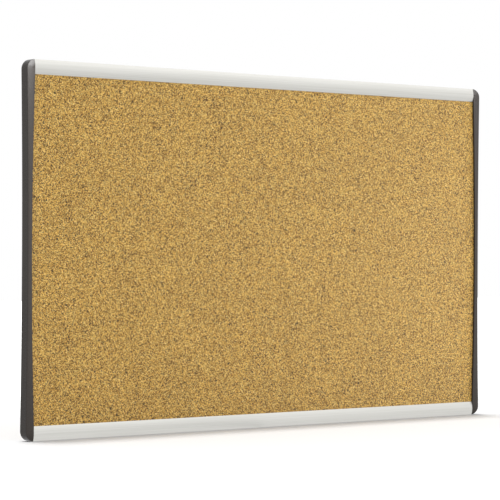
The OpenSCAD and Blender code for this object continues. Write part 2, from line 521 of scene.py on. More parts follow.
@dataclass(frozen=True)
class Finishes:
    """The materials of the whole board, each made once."""

    cork: bpy.types.Material
    fibreboard: bpy.types.Material
    kraft: bpy.types.Material
    aluminium: bpy.types.Material
    cap: bpy.types.Material
    zinc: bpy.types.Material
    acetal: bpy.types.Material
    rubber: bpy.types.Material

    @classmethod
    def make(cls) -> "Finishes":
        """Makes every material.

        Returns:
            The set of them.
        """
        board = PressedFibre("raw_fibreboard", "#86663f", "#a1835a", "#66492a", fibre=6 * MM, roughness=0.9)
        paper = PressedFibre("kraft_paper", "#b29971", "#bda67f", "#a38a63", fibre=3 * MM, roughness=0.82)
        # A tool's grain of 0.2 mm is too fine to show, so it is drawn a few times as coarse
        abs_plastic = MouldedPolymer(
            "moulded_abs",
            "#342f2b",
            "#2d2926",
            roughness=0.26,
            ior=1.53,
            grain=0.6 * MM,
            grain_depth=0.04 * MM,
        )
        slider = MouldedPolymer(
            "moulded_acetal",
            "#1d1e20",
            "#17181a",
            roughness=0.36,
            ior=1.48,
            grain=0.8 * MM,
            grain_depth=0.02 * MM,
        )
        pad = MouldedPolymer(
            "moulded_rubber",
            "#222223",
            "#191919",
            roughness=0.72,
            ior=1.52,
            grain=0.5 * MM,
            grain_depth=0.05 * MM,
        )
        return cls(
            cork=AgglomeratedCork().material(),
            fibreboard=board.material(),
            kraft=paper.material(),
            aluminium=AnodisedAluminium().material(),
            cap=abs_plastic.material(),
            zinc=ZincPlate().material(),
            acetal=slider.material(),
            rubber=pad.material(),
        )


@dataclass(frozen=True)
class Gauge:
    """Sizes and places of the frame, most of them read from the CAD nodes' boxes."""

    half_w: float
    half_h: float
    back: float
    cap_front: float
    rail_front: float
    rail_h: float
    rail_half: float
    tongue_end: float
    flange: float
    lip_back: float
    groove_floor: float
    wall: float = 1.2 * MM
    crown: float = 1.7 * MM

    @property
    def rail_depth(self) -> float:
        """How far the rails' crown stands in front of the frame's back."""
        return self.back - self.rail_front

    @property
    def crown_r(self) -> float:
        """Radius of the rails' crown."""
        return arc_radius(self.rail_h, self.crown)

    @classmethod
    def measure(cls, clear: float = 0.1 * MM, end_gap: float = 0.5 * MM) -> "Gauge":
        """Reads the boxes of the right cap, the top rail and the panel.

        Args:
            clear: Clearance on each face of the panel.
            end_gap: Room past each edge of the panel.

        Returns:
            The sizes.
        """
        cap_low, cap_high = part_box("right_end_cap")
        rail_low, rail_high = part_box("top_rail")
        cork_low, cork_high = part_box("cork_sheet")
        _, liner_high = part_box("back_liner")
        return cls(
            half_w=cap_high.x,
            half_h=cap_high.z,
            back=cap_high.y,
            cap_front=cap_low.y,
            rail_front=rail_low.y,
            rail_h=rail_high.z - rail_low.z,
            rail_half=rail_high.x,
            tongue_end=cap_low.x,
            flange=cap_high.y - liner_high.y - clear,
            lip_back=cap_high.y - cork_low.y + clear,
            groove_floor=cork_high.x + end_gap,
        )

    def at(self, depth: float) -> float:
        """Returns the Y of a depth measured forwards from the frame's back."""
        return self.back - depth

    def depth(self, point: Vector) -> float:
        """Returns how far a point lies in front of the frame's back."""
        return self.back - point.y

    def from_end(self, point: Vector) -> float:
        """Returns how far a point lies from the nearer long edge of the board."""
        return self.half_h - abs(point.z)


def arc_radius(chord: float, sag: float) -> float:
    """Gives the radius of a shallow arc.

    Args:
        chord: Straight distance between the arc's ends.
        sag: Height of the arc over the chord.

    Returns:
        The radius.
    """
    return (chord * chord / 4 + sag * sag) / (2 * sag)


def everything(mesh: bmesh.types.BMesh) -> list:
    """Returns all the vertices, edges and faces of a bmesh."""
    return [*mesh.verts, *mesh.edges, *mesh.faces]


def vertices(made: list) -> list[bmesh.types.BMVert]:
    """Returns the vertices among the elements that an operator made."""
    return [part for part in made if isinstance(part, bmesh.types.BMVert)]


def round_over(mesh: bmesh.types.BMesh, edges: list[bmesh.types.BMEdge], radius: float, steps: int) -> None:
    """Rounds edges over.

    Args:
        mesh: Mesh that holds the edges.
        edges: Edges to round.
        radius: How far the rounding reaches on each side.
        steps: Faces across the rounding.
    """
    bmesh.ops.bevel(
        mesh,
        geom=edges,
        offset=radius,
        offset_type="OFFSET",
        affect="EDGES",
        segments=steps,
        profile=0.5,
        material=-1,
        clamp_overlap=True,
    )


def slice_at(mesh: bmesh.types.BMesh, point: Vector, normal: Vector) -> None:
    """Cuts an edge loop through a whole mesh.

    Args:
        mesh: Mesh to cut.
        point: A point of the cutting plane.
        normal: Normal of the cutting plane.
    """
    bmesh.ops.bisect_plane(mesh, geom=everything(mesh), plane_co=point, plane_no=normal, dist=TINY)


def push_out(
    mesh: bmesh.types.BMesh, faces: list[bmesh.types.BMFace], way: Vector
) -> list[bmesh.types.BMVert]:
    """Extrudes faces, outwards as a boss or inwards as a pocket, or a loose sheet to a solid.

    Args:
        mesh: Mesh that holds the faces.
        faces: Faces to extrude as one region.
        way: How far they move.

    Returns:
        The vertices of the moved faces.
    """
    edges = dict.fromkeys(edge for face in faces for edge in face.edges)
    made = bmesh.ops.extrude_face_region(mesh, geom=[*edges, *faces])
    moved = vertices(made["geom"])
    bmesh.ops.translate(mesh, verts=moved, vec=way)
    return moved


class Outline:
    """A closed outline in a bmesh, drawn with straight runs and with arcs."""

    def __init__(self, mesh: bmesh.types.BMesh, start: Vector) -> None:
        """Starts the outline.

        Args:
            mesh: Mesh that the outline is drawn in.
            start: Its first point.
        """
        self.mesh = mesh
        self.first = mesh.verts.new(start)
        self.pen = self.first
        self.edges: list[bmesh.types.BMEdge] = []

    def run(self, *points: Vector) -> None:
        """Draws straight runs from the pen.

        Args:
            points: Where each run ends.
        """
        for point in points:
            vert = self.mesh.verts.new(point)
            self.edges.append(self.mesh.edges.new((self.pen, vert)))
            self.pen = vert

    def arc(self, centre: Vector, axis: Vector, angle: float, steps: int) -> None:
        """Turns the pen about an axis.

        Args:
            centre: A point of the axis.
            axis: Direction of the axis.
            angle: How far to turn, in radians.
            steps: Straight steps in the arc.
        """
        before = set(self.mesh.edges)
        made = bmesh.ops.spin(
            self.mesh, geom=[self.pen], cent=centre, axis=axis, angle=angle, steps=steps, use_duplicate=False
        )
        self.edges += [edge for edge in self.mesh.edges if edge not in before]
        self.pen = vertices(made["geom_last"])[0]

    def close(self) -> list[bmesh.types.BMEdge]:
        """Joins the pen to the first point and returns the outline's edges."""
        self.edges.append(self.mesh.edges.new((self.pen, self.first)))
        return self.edges

    def arc_home(self, centre: Vector, axis: Vector, angle: float, steps: int) -> list[bmesh.types.BMEdge]:
        """Turns the pen about an axis back to the first point.

        Args:
            centre: A point of the axis.
            axis: Direction of the axis.
            angle: How far the first point lies round the axis, in radians.
            steps: Straight steps in the arc.

        Returns:
            The edges of the closed outline.
        """
        self.arc(centre, axis, angle * (steps - 1) / steps, steps - 1)
        return self.close()

    def fill(self) -> bmesh.types.BMFace:
        """Closes the outline and returns the one face that fills it."""
        return bmesh.ops.contextual_create(self.mesh, geom=self.close())["faces"][0]

    def lathe(self, centre: Vector, steps: int) -> None:
        """Turns the open outline once round an axis along Y, and merges its poles.

        Args:
            centre: A point of the axis.
            steps: Straight steps round the axis.
        """
        points = dict.fromkeys(vert for edge in self.edges for vert in edge.verts)
        bmesh.ops.spin(
            self.mesh,
            geom=[*points, *self.edges],
            cent=centre,
            axis=(0, 1, 0),
            angle=2 * math.pi,
            steps=steps,
            use_merge=True,
            use_duplicate=False,
        )
        bmesh.ops.remove_doubles(self.mesh, verts=self.mesh.verts[:], dist=MERGE)


def finish_mesh(mesh: bmesh.types.BMesh, name: str, material: bpy.types.Material) -> bpy.types.Object:
    """Turns a bmesh into a smooth-shaded object at the origin.

    Args:
        mesh: Finished bmesh, which is freed.
        name: Name of the piece.
        material: Finish of the piece.

    Returns:
        The new object, linked to the scene.
    """
    bmesh.ops.remove_doubles(mesh, verts=mesh.verts[:], dist=MERGE)
    bmesh.ops.recalc_face_normals(mesh, faces=mesh.faces[:])
    data = bpy.data.meshes.new(name)
    mesh.to_mesh(data)
    mesh.free()
    data.shade_smooth()
    data.set_sharp_from_angle(angle=SMOOTH_ANGLE)
    data.materials.append(material)
    piece = bpy.data.objects.new(name, data)
    bpy.context.scene.collection.objects.link(piece)
    return piece


def install(piece: bpy.types.Object, body: str, slot: str, *nodes: str) -> None:
    """Puts a new piece in the frame in place of CAD nodes.

    Args:
        piece: The new piece.
        body: CAD body that it moves with.
        slot: Name of a material slot; not used.
        nodes: CAD nodes that it stands for.
    """
    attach(piece, body)
    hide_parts(*nodes)
    log.info("%s rides on %s and stands for %s", piece.name, body, ", ".join(nodes))


def dress(node: str, material: bpy.types.Material) -> None:
    """Gives a CAD node that stays in view its finish.

    Args:
        node: Name of the CAD node.
        material: The finish.
    """
    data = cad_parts[node].data
    data.materials.clear()
    data.materials.append(material)
    log.info("%s keeps its CAD mesh in %s", node, material.name)


@dataclass
class PinPanel:
    """The cork sheet, the fibreboard core behind it and the paper liner on its back."""

    gauge: Gauge
    finishes: Finishes
    step: float = 2.1 * MM
    relief: float = 0.18 * MM
    hidden_edge: float = 8 * MM

    def build(self) -> bpy.types.Object:
        """Makes the cork sheet and dresses the layers behind it.

        Returns:
            The cork sheet.
        """
        sheet = self.cork_sheet()
        install(sheet, "board", "cork", "cork_sheet")
        dress("core_board", self.finishes.fibreboard)
        dress("back_liner", self.finishes.kraft)
        return sheet

    def cork_sheet(self) -> bpy.types.Object:
        """Makes the cork sheet from a grid.

        Returns:
            The sheet, with the relief of its sanded granules on the front.
        """
        low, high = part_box("cork_sheet")
        size = high - low
        mesh = bmesh.new()
        upright = Matrix.Rotation(math.pi / 2, 4, "X")
        spread = Matrix.Diagonal((size.x / 2, size.z / 2, 1, 1))
        front = Matrix.Translation((0, low.y, (low.z + high.z) / 2))
        bmesh.ops.create_grid(
            mesh,
            x_segments=round(size.x / self.step),
            y_segments=round(size.z / self.step),
            size=1,
            matrix=front @ upright @ spread,
        )
        for vert in mesh.verts:
            edge = min(vert.co.x - low.x, high.x - vert.co.x, vert.co.z - low.z, high.z - vert.co.z)
            if edge > self.hidden_edge:
                vert.co.y += self.relief * abs(noise.noise(vert.co / self.step))
        rim = [edge for edge in mesh.edges if edge.is_boundary]
        sides = bmesh.ops.extrude_edge_only(mesh, edges=rim)
        bmesh.ops.translate(mesh, verts=vertices(sides["geom"]), vec=(0, size.y, 0))
        bmesh.ops.holes_fill(mesh, edges=[edge for edge in mesh.edges if edge.is_boundary])
        return finish_mesh(mesh, "sanded_cork_sheet", self.finishes.cork)


@dataclass
class Rail:
    """One long rail: a crowned extrusion with a groove for the panel and a channel behind."""

    edge: Edge
    gauge: Gauge
    finishes: Finishes
    channel: float = 9.1 * MM
    slot: float = 5.0 * MM
    front_r: float = 0.4 * MM
    inner_r: float = 0.15 * MM
    crown_steps: int = 24

    def build(self) -> None:
        """Makes the rail and puts it in place of its CAD node."""
        name = self.edge.name.lower()
        mesh = bmesh.new()
        push_out(mesh, [self.profile(mesh)], Vector((2 * self.gauge.rail_half, 0, 0)))
        self.soften(mesh)
        bmesh.ops.scale(mesh, verts=mesh.verts[:], vec=(1, 1, self.edge.value))
        piece = finish_mesh(mesh, f"{name}_rail_extrusion", self.finishes.aluminium)
        install(piece, "board", "anodised_aluminium", f"{name}_rail")

    def point(self, depth: float, height: float) -> Vector:
        """Returns a point of the profile at the top rail's left end.

        Args:
            depth: Distance in front of the frame's back.
            height: Distance down from the rail's outer edge.

        Returns:
            The point in the frame.
        """
        return Vector((-self.gauge.rail_half, self.gauge.at(depth), self.gauge.half_h - height))

    def profile(self, mesh: bmesh.types.BMesh) -> bmesh.types.BMFace:
        """Draws the section of the top rail.

        Args:
            mesh: Mesh to draw it in.

        Returns:
            The face that fills the section.
        """
        gauge = self.gauge
        depth, high, wall = gauge.rail_depth, gauge.rail_h, gauge.wall
        lip_back, flange = gauge.lip_back, gauge.flange
        radius = gauge.crown_r
        inner = radius - wall
        shoulder = depth - gauge.crown
        groove = self.channel + 2 * wall
        floor = wall + self.channel
        slot_top = wall + (self.channel - self.slot) / 2
        slot_end = slot_top + self.slot
        centre = self.point(depth - radius, high / 2)
        along = Vector((1, 0, 0))

        def turn(height: float, reach: float) -> float:
            """Returns the angle of a height on an arc of that radius about the crown's centre."""
            return math.asin((height - high / 2) / reach)

        def reach_at(height: float) -> float:
            """Returns the depth of the channel's front wall at a height."""
            return depth - radius + inner * math.cos(turn(height, inner))

        outline = Outline(mesh, self.point(0, 0))
        outline.run(self.point(shoulder, 0))
        outline.arc(centre, along, turn(high, radius) - turn(0, radius), self.crown_steps)
        outline.run(
            self.point(lip_back, high),
            self.point(lip_back, groove),
            self.point(flange, groove),
            self.point(flange, high),
            self.point(0, high),
            self.point(0, slot_end),
            self.point(wall, slot_end),
            self.point(wall, floor),
            self.point(reach_at(floor), floor),
        )
        outline.arc(centre, along, turn(wall, inner) - turn(floor, inner), self.crown_steps)
        outline.run(self.point(wall, wall), self.point(wall, slot_top), self.point(0, slot_top))
        return outline.fill()

    def soften(self, mesh: bmesh.types.BMesh) -> None:
        """Rounds the long edges, and the two at the front the most.

        Args:
            mesh: The extruded rail.
        """
        front = self.gauge.lip_back + TINY
        long_edges = [e for e in mesh.edges if e.calc_length() > self.gauge.rail_half]
        sharp = [e for e in long_edges if e.calc_face_angle(0) > SMOOTH_ANGLE]
        at_front = [e for e in sharp if self.gauge.depth(e.verts[0].co) > front]
        behind = [e for e in sharp if e not in at_front]
        round_over(mesh, behind, self.inner_r, 2)
        round_over(mesh, [e for e in at_front if e.is_valid], self.front_r, 4)


@dataclass
class EndCap:
    """One end cap: a waisted moulding with a groove for the panel and two tongues."""

    side: Side
    gauge: Gauge
    finishes: Finishes
    groove_end: float = 11.5 * MM
    inner_sag: float = 3.5 * MM
    outer_sag: float = 1.8 * MM
    corner_r: float = 12.0 * MM
    core_wall: float = 2.0 * MM
    core_edge: float = 4.93 * MM
    core_depth: float = 10.46 * MM
    core_r: float = 0.6 * MM
    tongue_top: float = 1.35 * MM
    tongue_low: float = 10.15 * MM
    edge_r: float = 0.45 * MM
    back_r: float = 0.3 * MM
    tip_taper: tuple[float, float, float] = (1, 0.9, 0.88)
    corner_steps: int = 12
    rows: int = 24
    shoulder_rows: int = 8

    def build(self) -> bpy.types.Object:
        """Makes the cap and puts it in place of its CAD node.

        Returns:
            The cap.
        """
        name = f"{self.side.name.lower()}_end_cap"
        mesh = bmesh.new()
        self.block(mesh)
        self.core_out(mesh)
        self.slice_rows(mesh)
        self.groove(mesh)
        self.tongues(mesh)
        self.waist(mesh)
        self.shoulders(mesh)
        self.soften(mesh)
        bmesh.ops.scale(mesh, verts=mesh.verts[:], vec=(self.side.value, 1, 1))
        piece = finish_mesh(mesh, f"moulded_{name}", self.finishes.cap)
        install(piece, "board", "cap_plastic", name)
        return piece

    @property
    def inner_x(self) -> float:
        """Where the cap meets the rails' ends."""
        return self.gauge.rail_half

    def block(self, mesh: bmesh.types.BMesh) -> None:
        """Starts from a block with its two outer corners rounded, and trims it to the rails' ends.

        The corners' arcs run on past the cap's width, so the block is wider until it is trimmed.

        Args:
            mesh: Empty mesh that gets the block.
        """
        gauge = self.gauge
        low = Vector((self.inner_x - self.corner_r, gauge.cap_front, -gauge.half_h))
        high = Vector((gauge.half_w, gauge.back, gauge.half_h))
        size = high - low
        bmesh.ops.create_cube(
            mesh, size=1, matrix=Matrix.Translation((low + high) / 2) @ Matrix.Diagonal((*size, 1))
        )
        corners = [
            e
            for e in mesh.edges
            if abs(e.verts[0].co.y - e.verts[1].co.y) > TINY and e.verts[0].co.x > gauge.half_w - TINY
        ]
        round_over(mesh, corners, self.corner_r, self.corner_steps)
        cut = bmesh.ops.bisect_plane(
            mesh,
            geom=everything(mesh),
            dist=TINY,
            plane_co=(self.inner_x, 0, 0),
            plane_no=(-1, 0, 0),
            clear_outer=True,
        )
        rim = [e for e in cut["geom_cut"] if isinstance(e, bmesh.types.BMEdge)]
        bmesh.ops.holes_fill(mesh, edges=rim, sides=0)

    def core_out(self, mesh: bmesh.types.BMesh) -> None:
        """Hollows each end from the back, as a moulder does to keep the walls even.

        Args:
            mesh: The block.
        """
        gauge = self.gauge
        low = Vector((self.inner_x + self.core_wall, gauge.half_h - self.groove_end + self.core_wall))
        high = Vector((gauge.half_w - self.core_edge, gauge.half_h - self.core_edge))
        size, middle = high - low, (high + low) / 2
        for end in Edge:
            top = end.value * (gauge.half_h - self.groove_end)
            slice_at(mesh, Vector((0, 0, top)), Vector((0, 0, 1)))
            rear = [f for f in mesh.faces if f.normal.y > FACING]
            face = max(rear, key=lambda f: f.calc_center_median().z * end.value)
            rim = list(face.edges)
            bmesh.ops.delete(mesh, geom=[face], context="FACES_ONLY")
            floor = Vector((middle.x, gauge.at(self.core_depth), end.value * middle.y))
            upright = Matrix.Rotation(-math.pi / 2, 4, "X")
            spread = Matrix.Diagonal((size.x / 2, size.y / 2, 1, 1))
            place = Matrix.Translation(floor) @ upright @ spread
            pocket = bmesh.ops.create_grid(mesh, x_segments=1, y_segments=1, size=1, matrix=place)
            rim += self.pocket_walls(mesh, pocket["verts"])
            bmesh.ops.triangle_fill(mesh, use_beauty=True, use_dissolve=False, edges=rim)

    def pocket_walls(
        self, mesh: bmesh.types.BMesh, corners: list[bmesh.types.BMVert]
    ) -> list[bmesh.types.BMEdge]:
        """Rounds the corners of a pocket's floor and raises its walls to the cap's back.

        Args:
            mesh: Mesh that holds the floor.
            corners: The floor's four corners.

        Returns:
            The edges round the pocket's mouth.
        """
        floor = bmesh.ops.bevel(
            mesh,
            geom=corners,
            offset=self.core_r,
            offset_type="OFFSET",
            affect="VERTICES",
            segments=4,
            profile=0.5,
            material=-1,
        )
        foot = dict.fromkeys(e for v in floor["verts"] for e in v.link_edges)
        walls = bmesh.ops.extrude_edge_only(mesh, edges=list(foot))
        mouth = vertices(walls["geom"])
        bmesh.ops.translate(mesh, verts=mouth, vec=(0, self.core_depth, 0))
        return [e for e in walls["geom"] if isinstance(e, bmesh.types.BMEdge) and set(e.verts) <= set(mouth)]

    def slice_rows(self, mesh: bmesh.types.BMesh) -> None:
        """Cuts rows of edges that the groove, the tongues and the curves need.

        Args:
            mesh: The hollowed block.
        """
        gauge = self.gauge
        waist = gauge.half_h - gauge.rail_h
        heights = [waist * (2 * row / self.rows - 1) for row in range(self.rows + 1)]
        for row in range(1, self.shoulder_rows + 1):
            shoulder = gauge.half_h - gauge.rail_h / 2 * row / self.shoulder_rows
            heights += [shoulder, -shoulder]
        for inset in (self.tongue_top, self.tongue_low):
            heights += [gauge.half_h - inset, inset - gauge.half_h]
        for height in heights:
            slice_at(mesh, Vector((0, 0, height)), Vector((0, 0, 1)))
        for depth in (gauge.flange, gauge.lip_back):
            slice_at(mesh, Vector((0, gauge.at(depth), 0)), Vector((0, 1, 0)))

    def inner_faces(self, mesh: bmesh.types.BMesh) -> list[bmesh.types.BMFace]:
        """Finds the faces against the panel's thickness.

        Args:
            mesh: The sliced block.

        Returns:
            Those on the side that meets the rails.
        """
        return [
            f
            for f in mesh.faces
            if abs(f.calc_center_median().x - self.inner_x) < TINY
            and self.gauge.flange < self.gauge.depth(f.calc_center_median()) < self.gauge.lip_back
        ]

    def groove(self, mesh: bmesh.types.BMesh) -> None:
        """Sinks the groove that the panel's end slides into.

        Args:
            mesh: The sliced block.
        """
        faces = [
            f
            for f in self.inner_faces(mesh)
            if self.gauge.from_end(f.calc_center_median()) > self.groove_end
        ]
        push_out(mesh, faces, Vector((self.gauge.groove_floor - self.inner_x, 0, 0)))

    def tongues(self, mesh: bmesh.types.BMesh) -> None:
        """Draws out the tongues that plug into the rails.

        Args:
            mesh: The grooved block.
        """
        for end in Edge:
            faces = [
                f
                for f in self.inner_faces(mesh)
                if self.tongue_top < self.gauge.from_end(f.calc_center_median()) < self.tongue_low
                and f.calc_center_median().z * end.value > 0
            ]
            tip = push_out(mesh, faces, Vector((self.gauge.tongue_end - self.inner_x, 0, 0)))
            middle = sum((v.co for v in tip), Vector()) / len(tip)
            bmesh.ops.scale(mesh, verts=tip, vec=self.tip_taper, space=Matrix.Translation(-middle))

    def waist(self, mesh: bmesh.types.BMesh) -> None:
        """Draws both long sides in towards mid height.

        Args:
            mesh: The block with its groove and tongues.
        """
        gauge = self.gauge
        inner_half = gauge.half_h - gauge.rail_h
        outer_half = gauge.half_h - self.corner_r
        for vert in mesh.verts:
            height = abs(vert.co.z)
            if abs(vert.co.x - self.inner_x) < TINY and height < inner_half:
                vert.co.x += self.bow(height, inner_half, self.inner_sag)
            elif abs(vert.co.x - gauge.half_w) < TINY and height < outer_half:
                vert.co.x -= self.bow(height, outer_half, self.outer_sag)

    @staticmethod
    def bow(height: float, half: float, sag: float) -> float:
        """Gives how far a shallow arc stands off its chord.

        Args:
            height: Distance from the middle of the chord.
            half: Half the chord.
            sag: Distance at the middle.

        Returns:
            The distance at that height.
        """
        radius = arc_radius(2 * half, sag)
        return math.sqrt(radius * radius - height * height) - radius + sag

    def shoulders(self, mesh: bmesh.types.BMesh) -> None:
        """Rolls the front back over each end, in line with the crown of the rails.

        Args:
            mesh: The waisted block.
        """
        gauge = self.gauge
        radius = gauge.crown_r
        proud = gauge.rail_front - gauge.cap_front
        for vert in mesh.verts:
            off_middle = gauge.rail_h / 2 - gauge.from_end(vert.co)
            if abs(vert.co.y - gauge.cap_front) < TINY and off_middle > 0:
                reach = math.sqrt((radius + proud) ** 2 - off_middle**2)
                vert.co.y = gauge.at(gauge.rail_depth - radius + reach)

    def soften(self, mesh: bmesh.types.BMesh) -> None:
        """Rounds the edges of the front, and the rim of the back a little.

        Args:
            mesh: The shaped cap.
        """
        gauge = self.gauge
        sharp = [e for e in mesh.edges if e.calc_face_angle(0) > SMOOTH_ANGLE]
        front = [e for e in sharp if all(gauge.depth(v.co) > gauge.lip_back + TINY for v in e.verts)]
        rear = [e for e in sharp if all(gauge.depth(v.co) < TINY for v in e.verts)]
        round_over(mesh, front, self.edge_r, 4)
        round_over(mesh, [e for e in rear if e.is_valid], self.back_r, 2)


@dataclass
class CrossScrew:
    """A screw with a cross recess, drawn at the origin with the top of its head facing +Y."""

    head: Head
    head_r: float
    head_h: float
    dome: float
    shank_r: float
    length: float
    recess_l: float
    recess_w: float
    recess_d: float
    edge: float = 0.4 * MM
    point_l: float = 1.2 * MM
    recess_taper: float = 0.7
    steps: int = 24

    def top(self, reach: float) -> float:
        """Gives the form of the head's top.

        Args:
            reach: Distance from the axis.

        Returns:
            Height of the top there, under the middle of the head.
        """
        if self.head is Head.COUNTERSUNK:
            return 0.0
        radius = arc_radius(2 * self.head_r, self.dome)
        return math.sqrt(radius * radius - reach * reach) - radius

    def draw(self, mesh: bmesh.types.BMesh) -> None:
        """Turns the head and the shank, and presses the recess into the head.

        Args:
            mesh: Empty mesh that gets the screw.
        """
        rim = self.head_r - self.edge
        low = self.top(self.head_r)
        break_r = self.edge / 4
        profile = Outline(mesh, Vector((rim, self.top(rim), 0)))
        profile.run(Vector((self.head_r - break_r, low, 0)), Vector((self.head_r, low - break_r, 0)))
        if self.head is Head.PAN:
            profile.run(Vector((self.head_r, -self.head_h, 0)))
        profile.run(
            Vector((self.shank_r, -self.head_h, 0)),
            Vector((self.shank_r, self.point_l - self.length, 0)),
            Vector((0, -self.length, 0)),
        )
        profile.lathe(Vector(), self.steps)
        self.press_recess(mesh)

    def press_recess(self, mesh: bmesh.types.BMesh) -> None:
        """Closes the top of the head and sinks a cross in it.

        Args:
            mesh: The turned screw, open at the top of its head.
        """
        turned = set(mesh.faces)
        lift = Vector((0, self.head_r, 0))
        bmesh.ops.create_grid(
            mesh, x_segments=3, y_segments=3, size=1, matrix=Matrix.Rotation(math.pi / 2, 4, "X")
        )
        grid = [f for f in mesh.faces if f not in turned]
        for vert in dict.fromkeys(v for f in grid for v in f.verts):
            reach = Vector((vert.co.x, vert.co.z))
            across = [math.copysign(self.recess_l if abs(c) > 0.5 else self.recess_w, c) / 2 for c in reach]
            vert.co = Vector((across[0], self.top(math.hypot(*across)), across[1])) + lift
        rim = dict.fromkeys(e for f in grid for e in f.edges if e.is_boundary)
        bmesh.ops.subdivide_edges(mesh, edges=list(rim), cuts=1)
        grid = [f for f in mesh.faces if f not in turned]

        # Loops that lie in one plane bridge with a twist, so the grid comes down afterwards
        bmesh.ops.bridge_loops(mesh, edges=[e for e in mesh.edges if e.is_boundary])
        raised = dict.fromkeys(v for f in grid for v in f.verts)
        bmesh.ops.translate(mesh, verts=list(raised), vec=-lift)
        arms = []
        for face in grid:
            middle = face.calc_center_bounds()
            if min(abs(middle.x), abs(middle.z)) < self.recess_w / 4:
                arms.append(face)
        floor = push_out(mesh, arms, Vector((0, -self.recess_d, 0)))
        bmesh.ops.scale(mesh, verts=floor, vec=(self.recess_taper, 1, self.recess_taper))

    def set_at(self, places: list[Vector], name: str, material: bpy.types.Material) -> bpy.types.Object:
        """Makes one piece of several such screws.

        Args:
            places: Where the top of each head is.
            name: Name of the piece.
            material: Finish of the piece.

        Returns:
            The piece.
        """
        mesh = bmesh.new()
        self.draw(mesh)
        first = everything(mesh)
        for place in places[1:]:
            copy = bmesh.ops.duplicate(mesh, geom=first)
            bmesh.ops.translate(mesh, verts=vertices(copy["geom"]), vec=place)
        bmesh.ops.translate(mesh, verts=vertices(first), vec=places[0])
        return finish_mesh(mesh, name, material)


@dataclass
class CapScrews:
    """The four screws that hold the caps' tongues in the rails."""

    finishes: Finishes
    head_r: float = 3.2 * MM
    head_h: float = 2.0 * MM

    def build(self) -> None:
        """Makes the screws and puts them in place of their CAD node."""
        low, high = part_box("cap_screws")
        screw = CrossScrew(
            head=Head.PAN,
            head_r=self.head_r,
            head_h=self.head_h,
            dome=0.8 * MM,
            shank_r=1.7 * MM,
            length=high.y - low.y,
            recess_l=3.6 * MM,
            recess_w=0.9 * MM,
            recess_d=1.2 * MM,
        )
        across, up = high.x - self.head_r, high.z - self.head_r
        places = [Vector((side.value * across, high.y, edge.value * up)) for side in Side for edge in Edge]
        piece = screw.set_at(places, "pan_head_cap_screws", self.finishes.zinc)
        install(piece, "board", "zinc_steel", "cap_screws")


